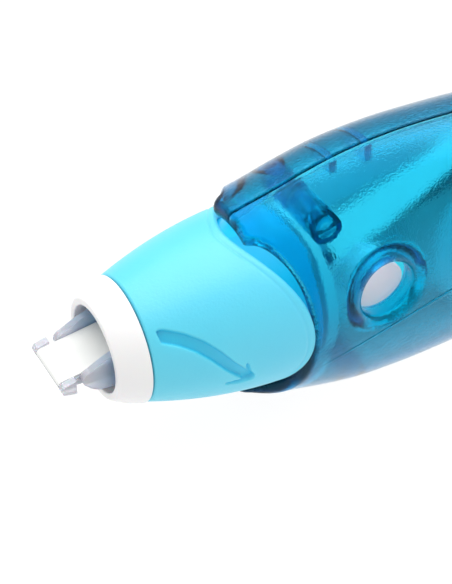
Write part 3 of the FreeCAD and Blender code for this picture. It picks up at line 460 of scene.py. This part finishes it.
def form_line(name, side):
    """Round bead whose radius is r * sqrt(sin(pi t)) at t along the line, about half sunk
    in the outside of a half. Its middle follows a fourth-degree curve fitted to the places."""
    along = np.linspace(0, 1, 120)
    x = LINE_PLACES[0, 0] + (LINE_PLACES[-1, 0] - LINE_PLACES[0, 0]) * along
    z = np.polyval(np.polyfit(LINE_PLACES[:, 0], LINE_PLACES[:, 1], 4), x)
    middle = np.stack([x, wall_y(x, z, 0.0) + LINE_SUNK, z], -1)
    ahead = np.gradient(middle, axis=0)
    ahead /= np.linalg.norm(ahead, axis=1, keepdims=True)
    across = np.cross(ahead, [0.0, 1.0, 0.0])
    across /= np.linalg.norm(across, axis=1, keepdims=True)
    outward = np.cross(across, ahead)
    turn = np.linspace(0, 2 * np.pi, 16, endpoint=False)[None, :, None]
    radius = (LINE_R * np.sqrt(np.sin(np.pi * along)).clip(0.0))[:, None, None]
    tube = middle[:, None] + radius * (np.cos(turn) * across[:, None]
                                       + np.sin(turn) * outward[:, None])
    return finish_mesh(name, *stack_grids([tube * np.array([1, -side, 1])]))


near_line = form_line("near_form_line", NEAR)
fit_piece(near_line, "case", "case_blue", case_san, "near_shell")
far_line = form_line("far_form_line", FAR)
fit_piece(far_line, "case", "case_blue", case_san, "far_shell")

# ---------------------------------------------------------------------- tip and its carrier
# Tip and carrier are clear polycarbonate, moulded with a fine frost so that the tape shows
# through milky. The tip is cemented to the carrier's rails, and the carrier's round hub
# shows in the window.
# Along the tip, in millimetres from its front, the painted cyan glow starts here and is full
# here.
PAINTED_GLOW_FROM_X, PAINTED_GLOW_TO_X = 2.5, 7.5


def finish_nodes(material, *names):
    """Puts a material on CAD nodes whose shape is already right."""
    for name in names:
        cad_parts[name].material_slots[0].material = material


def overlay(material, colour, share):
    """Lets a second colour take over from a material's own, by a share from 0 to 1."""
    tree = material.node_tree
    base = tree.nodes["Principled BSDF"].inputs["Base Color"]
    blend = add_node(tree, "ShaderNodeMix", {"data_type": "RGBA", MIX_SECOND: linear(colour)},
                     {"Factor": share, MIX_FIRST: base.links[0].from_socket})
    tree.links.new(blend.outputs[MIX_RESULT], base)


# Polycarbonate bends light at 1.58, set at 1.45 here to soften its glints. The frost scatters
# the light widely and looks lilac white. Towards the ring a blue is painted in, standing in
# for the cyan light that the tip picks up from the parts behind it.
tip_polycarbonate = moulded(
    "polycarbonate_frosted", "F3F1F8", "ECEFF8", 3.0, 0.15, 0.006,
    {"Transmission Weight": 0.5, "Roughness": 0.3, "IOR": 1.45,
     "Subsurface Weight": 0.2, "Subsurface Scale": 0.002})
tree = tip_polycarbonate.node_tree
place = add_node(tree, "ShaderNodeTexCoord")
parts = add_node(tree, "ShaderNodeSeparateXYZ", None, {"Vector": place.outputs["Object"]})
# Along x the painted cyan glow takes over from the tip's own colour.
glow_share = add_node(tree, "ShaderNodeMapRange",
                        {"From Min": TIP_X + PAINTED_GLOW_FROM_X * 0.001,
                         "From Max": TIP_X + PAINTED_GLOW_TO_X * 0.001},
                        {"Value": parts.outputs["X"]})
overlay(tip_polycarbonate, "94C8EC", glow_share.outputs["Result"])
finish_nodes(tip_polycarbonate, "applicator_tip")
# The carrier behind it is the same plastic, cloudier, and reads lilac white in the window.
carrier_polycarbonate = moulded("polycarbonate_cloudy", "EDEBF4", "F3F1F8", 3.0, 0.3, 0.004,
                                {"Transmission Weight": 0.15, "Roughness": 0.25, "IOR": 1.45,
                                 "Subsurface Weight": 0.2, "Subsurface Scale": 0.002})
finish_nodes(carrier_polycarbonate, "tip_carrier")

# ------------------------------------------------------------------------------- nose cover
# The ring is glossy white ABS with a rounded front, pressed on a plain white sleeve that
# slides on the barrel.
RING_FRONT, RING_REAR, RING_SEAT = 4.9, 7.9, 6.3
RING_NOSE_R, RING_REAR_R, RING_BORE, RING_SEAT_R = 5.15, 6.5, 4.45, 4.97
RING_SWELL, RING_BEND = 0.16, 0.17


def turned_x(profile, around):
    """Grid of a closed profile of (x, radius) carried round the pen's axis."""
    x, radius = np.asarray(profile, float).T[:, :, None]
    turn = np.linspace(0, 2 * np.pi, around, endpoint=False)[None, :]
    return np.stack(np.broadcast_arrays(x, -radius * np.sin(turn), radius * np.cos(turn)), -1)


# The flank is a straight taper plus a shallow parabolic swell.
part_way = np.linspace(0, 1, 14)
swell = RING_SWELL * 4 * part_way * (1 - part_way)
flank = np.column_stack([RING_FRONT + (RING_REAR - RING_FRONT) * part_way,
                         RING_NOSE_R + (RING_REAR_R - RING_NOSE_R) * part_way + swell])
seat_and_bore = [(RING_REAR, RING_SEAT_R), (RING_SEAT, RING_SEAT_R), (RING_SEAT, RING_BORE),
                 (RING_FRONT, RING_BORE)]
ring_profile = rounded(np.concatenate([flank, seat_and_bore]), RING_BEND, 5)
ring_grid = turned_x(ring_profile, 160)
nose_cover_ring = finish_mesh("nose_cover_ring", *stack_grids([ring_grid], wrap_rows=True), 60)
# ABS bends light at 1.53; the mould was polished, so the ring has a soft satin gloss.
ring_abs = moulded("ABS_white_polished", "EDECEC", "F3F2F2", 8.0, 1.2, 0.003,
                   {"Roughness": 0.28, "IOR": 1.53, "Subsurface Weight": 0.1,
                    "Subsurface Scale": 0.001})
fit_piece(nose_cover_ring, "nose_cover", "ring_white", ring_abs, "nose_ring")
# The inner parts are the same ABS straight from an unpolished mould.
inner_abs = moulded("ABS_white_plain", "DDE3E8", "E8ECEF", 5.0, 0.3, 0.008,
                    {"Roughness": 0.5, "IOR": 1.53})
finish_nodes(inner_abs, "slide_sleeve", "cam_barrel")

# ------------------------------------------------------------------------------------- grip
# A cyan ABS core is overmoulded with a pale blue thermoplastic elastomer (TPE), matt and
# soft to touch. Its rear edge sweeps back to a tongue at each side, and a recessed arrow
# on both sides shows which way it twists.
GRIP_FRONT, GRIP_TONGUE_X, GRIP_TONGUE_R = 8.1, 24.2, 10.63
GRIP_FRONT_R, GRIP_REAR_R, GRIP_SWELL, GRIP_FULL_X = 6.45, 9.3, 0.805, 25.0
GRIP_EDGE_R = 9.15
FRONT_ROUND, LIP_ROUND = 0.12, 0.45
GROOVE_DEPTH, GROOVE_PLACE, GROOVE_WIDTH = 0.07, 1.05, 0.16
CORE_FRONT_R, CORE_STEP_R, CORE_R = 5.8, 7.05, 7.9
CORE_STEP_X, CORE_FULL_X = 13.2, 18.0
GRIP_ALONG, GRIP_AROUND, GRIP_INSIDE = 200, 400, 10
# The arrow's lines are measured on the grip unrolled at one radius. x is in millimetres and
# the second number is degrees round from the top. The band's and barbs' half widths shrink
# along them, and their edges ease over a short distance.
ARROW_DEPTH, UNROLL_R = 0.5, 8.0
BAND_HALF, BAND_TAPER, BAND_EDGE = 0.70, 0.18, 0.2
BARB_HALF, BARB_TAPER, BARB_EDGE = 0.34, 0.7, 0.25
TAIL_X, TAIL_DEGREES, TAIL_LEAN = 9.1, 52, 0.9
ARROW_BAND = [(9.3, 52.0), (10.9, 59.0), (12.4, 67.5), (13.8, 78.0), (15.0, 88.5),
              (16.2, 97.5), (17.1, 103.5)]
ARROW_BARBS = [[(17.3, 104.5), (16.95, 98.0), (16.75, 91.0)],
               [(17.2, 104.8), (16.0, 106.3), (14.9, 106.0)]]


def grip_radius(x):
    """Outside of the grip: a straight taper plus a shallow parabolic swell."""
    part = (x - GRIP_FRONT) / (GRIP_FULL_X - GRIP_FRONT)
    return (GRIP_FRONT_R + (GRIP_REAR_R - GRIP_FRONT_R) * part
            + 4 * GRIP_SWELL * part * (1 - part))


def line_distance(x, turn, path):
    """Distance on the unrolled grip, in millimetres, from each x, turn to the nearest of a
    path's straight runs, and how far along the path that is, from 0 to 1."""
    path = np.array([(px, np.radians(degrees) * UNROLL_R) for px, degrees in path])
    start, run = path[:-1], np.diff(path, axis=0)
    spot = np.stack([x, turn * UNROLL_R], -1)[..., None, :]
    part = np.clip(((spot - start) * run).sum(-1) / (run ** 2).sum(-1), 0, 1)
    gap = np.linalg.norm(spot - start - part[..., None] * run, axis=-1)
    nearest = gap.argmin(-1)
    along = (nearest + np.take_along_axis(part, nearest[..., None], -1)[..., 0]) / len(run)
    return gap.min(-1), along


def arrow_mask(x, turn):
    """1 in the arrow and 0 outside it, easing across its edge. The band tapers towards the
    arrow's head and its tail is cut slantwise; each barb thins towards its end."""
    turn = np.abs(turn)
    gap, along = line_distance(x, turn, ARROW_BAND)
    mask = ease((BAND_HALF - BAND_TAPER * along - gap) / BAND_EDGE + 0.5)
    tail_cut = (x - TAIL_X) - (turn - np.radians(TAIL_DEGREES)) * TAIL_LEAN
    mask = mask * ease(tail_cut / BAND_EDGE + 0.5)
    for barb in ARROW_BARBS:
        gap, along = line_distance(x, turn, barb)
        half_width = BARB_HALF * (1 - BARB_TAPER * along)
        mask = np.maximum(mask, ease((half_width - gap) / BARB_EDGE + 0.5))
    return mask


# One closed loop of x and radius at each turn: the rounded front edge, the outside back to
# the swept rear edge, the half-round lip there, and the inside forward over the core.
turn = np.linspace(0, 2 * np.pi, GRIP_AROUND, endpoint=False)[None, :]
side_turn = (turn + np.pi) % (2 * np.pi) - np.pi
rear_z = np.abs(np.cos(turn)) * GRIP_EDGE_R
rear_x = GRIP_TONGUE_X - GRIP_TONGUE_R + np.sqrt(GRIP_TONGUE_R ** 2 - rear_z ** 2)
part_way = np.linspace(0, 1, GRIP_ALONG)[:, None]
front_edge = GRIP_FRONT + FRONT_ROUND
outer_x = front_edge + (rear_x - LIP_ROUND - GRIP_FRONT - FRONT_ROUND) * part_way
# The far side's arrow is the near side's turned by half a turn.
near_turn = np.where(side_turn >= 0, side_turn, side_turn + np.pi)
outer_mask = arrow_mask(outer_x, np.broadcast_to(near_turn, outer_x.shape))
groove = GROOVE_DEPTH * np.exp(-((rear_x - outer_x - GROOVE_PLACE) / GROOVE_WIDTH) ** 2)
outer_r = grip_radius(outer_x) - ARROW_DEPTH * outer_mask - groove
front_swing = np.linspace(0, np.pi / 2, 4, endpoint=False)[:, None]
front_x = front_edge - FRONT_ROUND * np.cos(front_swing) + 0 * turn
front_r = grip_radius(GRIP_FRONT) - FRONT_ROUND + FRONT_ROUND * np.sin(front_swing) + 0 * turn
lip_swing = np.linspace(0, np.pi, 12)[1:, None]
lip_top = grip_radius(rear_x - LIP_ROUND)
lip_x = rear_x - LIP_ROUND + LIP_ROUND * np.sin(lip_swing)
lip_r = (lip_top + CORE_R) / 2 + (lip_top - CORE_R) / 2 * np.cos(lip_swing)
inner_steps = np.linspace(1, 0, GRIP_INSIDE)[1:, None]
inner_x = GRIP_FRONT + (rear_x - LIP_ROUND - GRIP_FRONT) * inner_steps
inner_r = np.interp(inner_x, [GRIP_FRONT, CORE_STEP_X, CORE_FULL_X],
                    [CORE_FRONT_R, CORE_STEP_R, CORE_R])
grip_x = np.concatenate([front_x, outer_x, lip_x, inner_x])
grip_r = np.concatenate([front_r, outer_r, lip_r, inner_r])
grip_grid = np.stack([grip_x, -grip_r * np.sin(turn), grip_r * np.cos(turn)], -1)
grip_skin = finish_mesh("grip_skin", *stack_grids([grip_grid], wrap_rows=True), 60)

# TPE bends light at 1.5 and lets a little in, so it glows softly. Its grain is drawn at 0.25
# mm. In the arrow the mould is polished and the colour looks deeper; only the deeper colour is
# drawn.
grip_tpe = moulded(
    "TPE_pale_blue_matt", "46CBEB", "5AD5F0", 9.0, 0.25, 0.02,
    {"Roughness": 0.45, "IOR": 1.5, "Specular IOR Level": 0.9,
     "Subsurface Weight": 0.35, "Subsurface Scale": 0.002,
     "Subsurface Radius": (0.4, 0.9, 1.0), "Sheen Weight": 0.12, "Sheen Roughness": 0.4})
# Each corner of the mesh on the outside holds how far it lies in the arrow, from 0 to 1.
mesh = grip_skin.data
points = np.empty(len(mesh.vertices) * 3)
mesh.vertices.foreach_get("co", points)
points = (points.reshape(-1, 3) - pen((0, 0, 0))) * 1000
point_turn = np.arctan2(-points[:, 1], points[:, 2])
point_turn = np.where(point_turn >= 0, point_turn, point_turn + np.pi)
skin_floor = grip_radius(points[:, 0]) - ARROW_DEPTH - 0.2
on_outside = np.hypot(points[:, 1], points[:, 2]) > skin_floor
arrow = mesh.attributes.new("arrow", "FLOAT", "POINT")
arrow.data.foreach_set("value", arrow_mask(points[:, 0], point_turn) * on_outside)
in_arrow = add_node(grip_tpe.node_tree, "ShaderNodeAttribute", {"attribute_name": "arrow"})
overlay(grip_tpe, "00C4EE", in_arrow.outputs["Fac"])
fit_piece(grip_skin, "twist_grip", "grip_soft", grip_tpe, "grip_rubber")
# The core is bright cyan ABS with the mould's light polish.
core_abs = moulded("ABS_cyan", "00B4DC", "00BEE6", 6.0, 0.8, 0.004,
                   {"Roughness": 0.35, "IOR": 1.53})
finish_nodes(core_abs, "grip_core")

# ------------------------------------------------------------------------ tape and its film
# The correction tape is white paint on a siliconed film. The run to the tip is white, with
# painted shade along its near edge: a dark grey wedge that widens from the guide post to the
# reel.
# Where the painted shade starts along x, how fast it widens and how soft its edge is.
SHADE_WEDGE_X, SHADE_WEDGE_GROWTH, SHADE_WEDGE_EDGE = 36.5, 0.16, 0.05
TAPE_HALF_WIDTH = 2.5
run_paint = moulded("correction_tape_run", "E6E8E6", "F1F2EF", 2.5, 0.3, 0.004,
                    {"Roughness": 0.55, "IOR": 1.5})
tree = run_paint.node_tree
place = add_node(tree, "ShaderNodeTexCoord")
parts = add_node(tree, "ShaderNodeSeparateXYZ", None, {"Vector": place.outputs["Object"]})
# The painted shade lies where growth * (x - start) - y is above the half width, in metres.
shade_widening = add_node(tree, "ShaderNodeMath",
                    {"operation": "MULTIPLY_ADD", 1: SHADE_WEDGE_GROWTH,
                     2: -SHADE_WEDGE_GROWTH * (TIP_X + SHADE_WEDGE_X * 0.001)},
                    {0: parts.outputs["X"]})
shade_reach = add_node(tree, "ShaderNodeMath", {"operation": "SUBTRACT"},
                  {0: shade_widening.outputs[0], 1: parts.outputs["Y"]})
painted_shade = add_node(tree, "ShaderNodeMapRange",
                {"From Min": TAPE_HALF_WIDTH * 0.001,
                 "From Max": (TAPE_HALF_WIDTH + SHADE_WEDGE_EDGE) * 0.001},
                {"Value": shade_reach.outputs[0]})
# The dark grey laid over the white here is painted shade.
overlay(run_paint, "37474D", painted_shade.outputs["Result"])
finish_nodes(run_paint, "tape_run_out")
# Past the tip the paint is gone and the bare film runs back clear and faintly grey.
bare_film = moulded("film_siliconed_clear", "AEBFC6", "BBCAD0", 4.0, 0.6, 0.002,
                    {"Roughness": 0.15, "IOR": 1.5, "Transmission Weight": 0.6})
finish_nodes(bare_film, "film_run_back")
# Wound on the reel, the tape is matt white with fine lines of its layers.
tape_paint = moulded("correction_tape_wound", "E9EAE6", "F3F3F0", 2.0, 0.2, 0.01,
                     {"Roughness": 0.7, "IOR": 1.5})
finish_nodes(tape_paint, "tape_pack")
used_film = moulded("film_used_wound", "9FB2B8", "B4C3C8", 2.0, 0.2, 0.01,
                    {"Roughness": 0.35, "IOR": 1.5, "Transmission Weight": 0.3})
finish_nodes(used_film, "used_film_pack")

# ----------------------------------------------------------------- chassis, reels and gears
# The chassis is plain white ABS, the reels are white polystyrene and the gears are acetal,
# all from unpolished moulds. A silicone ring clutches the full reel to its gear.
chassis_abs = moulded("ABS_chassis", "CFE0E8", "DCE8EE", 7.0, 0.4, 0.008,
                      {"Roughness": 0.5, "IOR": 1.53})
finish_nodes(chassis_abs, "chassis")
reel_styrene = moulded("polystyrene_white", "E4E9EC", "EEF1F3", 6.0, 0.5, 0.006,
                       {"Roughness": 0.4, "IOR": 1.59})
finish_nodes(reel_styrene, "supply_core", "supply_flange", "takeup_core", "takeup_flange")
gear_acetal = moulded("acetal_natural", "DDE3E4", "E8ECEC", 4.0, 0.4, 0.006,
                      {"Roughness": 0.38, "IOR": 1.48})
finish_nodes(gear_acetal, "supply_gear", "idler_gear", "takeup_gear")
clutch_silicone = moulded("silicone_grey", "3E444B", "4A5057", 3.0, 0.3, 0.01,
                          {"Roughness": 0.6, "IOR": 1.41})
finish_nodes(clutch_silicone, "clutch_ring")

# ------------------------------------------------------------------------ studio and camera
# A glowing white table under a broad soft box, with white walls all round. The camera looks
# down from the near side, ahead of the tip, and is rolled a little. Lengths are in metres.
TABLE_SIZE, TABLE_DROP = 3.0, 0.0002
BOX_SIZE, BOX_PLACE, BOX_POWER = (0.9, 0.7), (0.15, 0.166, 0.5), 4.2
CAMERA_PLACE, CAMERA_LOOK, CAMERA_ROLL = (-33.0, -86.1, 90.9), (0.388, 0.638, -0.665), 1.9
scene = bpy.context.scene
scene.view_settings.view_transform = "Standard"
world = bpy.data.worlds.new("studio")
scene.world = world
world.use_nodes = True
world.node_tree.nodes["Background"].inputs["Color"].default_value = (1, 1, 1, 1)
world.node_tree.nodes["Background"].inputs["Strength"].default_value = 0.7

bpy.ops.mesh.primitive_plane_add(size=TABLE_SIZE, location=(0, 0, -TABLE_DROP))
table = bpy.context.object
table.name = "table"
table_board = moulded("white_acrylic_lit", "404040", "424242", 200.0, 5.0, 0.001,
                      {"Roughness": 0.8, "Emission Color": (1, 1, 1, 1),
                       "Emission Strength": 0.96})
table.data.materials.append(table_board)

box_data = bpy.data.lights.new("soft_box", "AREA")
box_data.shape = "RECTANGLE"
box_data.size, box_data.size_y = BOX_SIZE
box_data.energy = BOX_POWER
soft_box = bpy.data.objects.new("soft_box", box_data)
scene.collection.objects.link(soft_box)
soft_box.location = BOX_PLACE

camera_data = bpy.data.cameras.new("camera")
camera = bpy.data.objects.new("camera", camera_data)
scene.collection.objects.link(camera)
scene.camera = camera
camera_data.sensor_fit = "VERTICAL"
camera_data.sensor_height = 36.0
camera_data.lens = 84.5
camera_data.clip_start = 0.005
forward = Vector(CAMERA_LOOK).normalized()
level = forward.cross(Vector((0, 0, 1))).normalized()
roll = np.radians(CAMERA_ROLL)
right = level * np.cos(roll) + level.cross(forward) * np.sin(roll)
turned = Matrix((right, right.cross(forward), -forward)).transposed().to_4x4()
camera.matrix_world = Matrix.Translation(Vector(pen(CAMERA_PLACE))) @ turned
